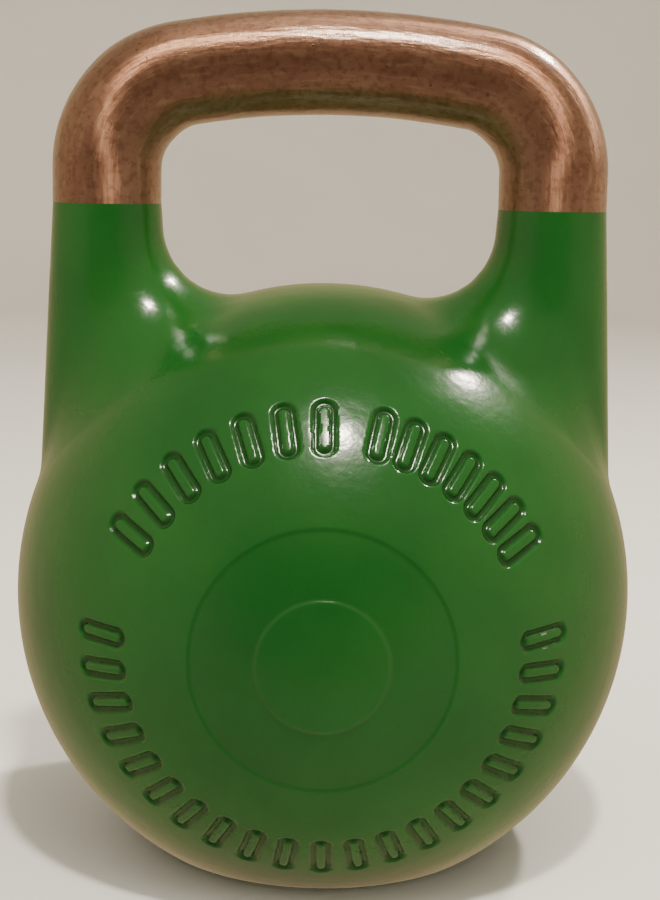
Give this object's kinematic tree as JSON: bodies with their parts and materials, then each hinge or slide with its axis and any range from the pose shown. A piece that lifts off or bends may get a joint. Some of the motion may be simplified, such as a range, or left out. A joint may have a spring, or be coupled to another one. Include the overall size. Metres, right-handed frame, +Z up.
{
  "type": "kettlebell",
  "caption": "Competition-style kettlebell: hollow ball with two horns, bare steel bow handle, flat base with screw plug, engraved ring of plain marks.",
  "frame": {"origin": "centre of the flat base, on the floor", "axes": "+Z up, +X to the right of the engraved face along the handle bar, engraved face towards -Y"},
  "size_m": [0.21, 0.21, 0.2825],
  "materials": {
    "green_enamel": "glossy green enamel over cast iron",
    "bare_steel": "bare ground steel with a thin brown patina",
    "weld_steel": "weld metal ground flush, brown patina",
    "dowel_steel": "ground steel",
    "plug_iron": "blackened, fine machining marks",
    "gasket_rubber": "matt black",
    "screw_steel": "zinc plated",
    "ballast_iron": "rough cast iron",
    "packing_foam": "stiff cream foam"
  },
  "bodies": {
    "root": {"ball_shell": "green_enamel", "handle_bow": "bare_steel", "weld_left": "weld_steel", "weld_right": "weld_steel", "dowel_left": "dowel_steel", "dowel_right": "dowel_steel", "base_plug": "plug_iron", "plug_gasket": "gasket_rubber", "plug_lock_screw": "screw_steel", "ballast": "ballast_iron", "foam_packing": "packing_foam"}
  },
  "joints": []
}
